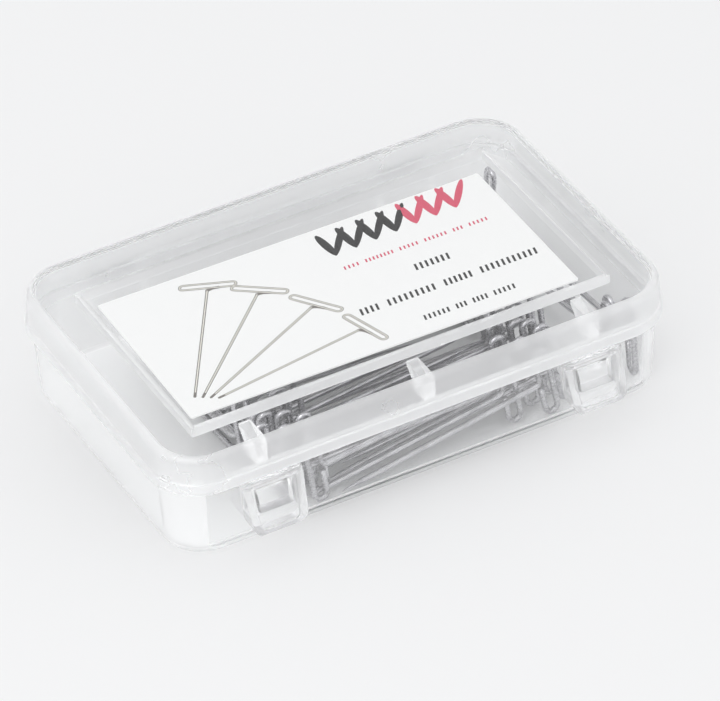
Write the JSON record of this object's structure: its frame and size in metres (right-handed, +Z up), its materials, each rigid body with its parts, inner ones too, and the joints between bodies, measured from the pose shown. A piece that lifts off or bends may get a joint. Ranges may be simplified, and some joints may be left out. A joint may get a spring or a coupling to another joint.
{
  "type": "pin box",
  "caption": "Flat translucent plastic box with a hinged snap lid, two latch flaps, a label card under the lid and a pile of wire T-pins for blocking lace.",
  "frame": {"origin": "on the underside, below the middle of the box's overall size", "axes": "+X along the box's length to the right, -Y towards the latches, +Z up"},
  "size_m": [0.095, 0.067, 0.0209],
  "materials": {
    "tray_plastic": "frosted translucent polypropylene",
    "lid_plastic": "clear polypropylene, slightly frosted",
    "card": "printed white card",
    "pin_steel": "nickel-plated drawn wire"
  },
  "bodies": {
    "tray": {"tray": "tray_plastic", "t_pin_01": "pin_steel", "t_pin_02": "pin_steel", "t_pin_03": "pin_steel", "t_pin_04": "pin_steel", "t_pin_05": "pin_steel", "t_pin_06": "pin_steel", "t_pin_07": "pin_steel", "t_pin_08": "pin_steel", "t_pin_09": "pin_steel", "t_pin_10": "pin_steel", "t_pin_11": "pin_steel", "t_pin_12": "pin_steel", "t_pin_13": "pin_steel", "t_pin_14": "pin_steel", "t_pin_15": "pin_steel", "t_pin_16": "pin_steel", "t_pin_17": "pin_steel", "t_pin_18": "pin_steel", "t_pin_19": "pin_steel", "t_pin_20": "pin_steel", "t_pin_21": "pin_steel", "t_pin_22": "pin_steel", "t_pin_23": "pin_steel", "t_pin_24": "pin_steel", "t_pin_25": "pin_steel", "t_pin_26": "pin_steel", "t_pin_27": "pin_steel", "t_pin_28": "pin_steel", "t_pin_29": "pin_steel", "t_pin_30": "pin_steel", "t_pin_31": "pin_steel", "t_pin_32": "pin_steel", "t_pin_33": "pin_steel", "t_pin_34": "pin_steel", "t_pin_35": "pin_steel", "t_pin_36": "pin_steel", "t_pin_37": "pin_steel", "t_pin_38": "pin_steel", "t_pin_39": "pin_steel", "t_pin_40": "pin_steel", "t_pin_41": "pin_steel", "t_pin_42": "pin_steel", "t_pin_43": "pin_steel", "t_pin_44": "pin_steel", "t_pin_45": "pin_steel", "t_pin_46": "pin_steel", "t_pin_47": "pin_steel", "t_pin_48": "pin_steel", "t_pin_49": "pin_steel", "t_pin_50": "pin_steel"},
    "lid": {"lid": "lid_plastic", "label_card": "card"},
    "latch_left": {"latch_left": "tray_plastic"},
    "latch_right": {"latch_right": "tray_plastic"}
  },
  "joints": [
    {"name": "lid_hinge", "type": "hinge", "parent": "tray", "child": "lid", "pos_m": [0, 0.03185, 0.01195], "axis": [-1, 0, 0], "range_deg": [0, 180]},
    {"name": "latch_left_hinge", "type": "hinge", "parent": "lid", "child": "latch_left", "pos_m": [-0.03, -0.0302, 0.013], "axis": [-1, 0, 0], "range_deg": [0, 95]},
    {"name": "latch_right_hinge", "type": "hinge", "parent": "lid", "child": "latch_right", "pos_m": [0.03, -0.0302, 0.013], "axis": [-1, 0, 0], "range_deg": [0, 95]}
  ]
}
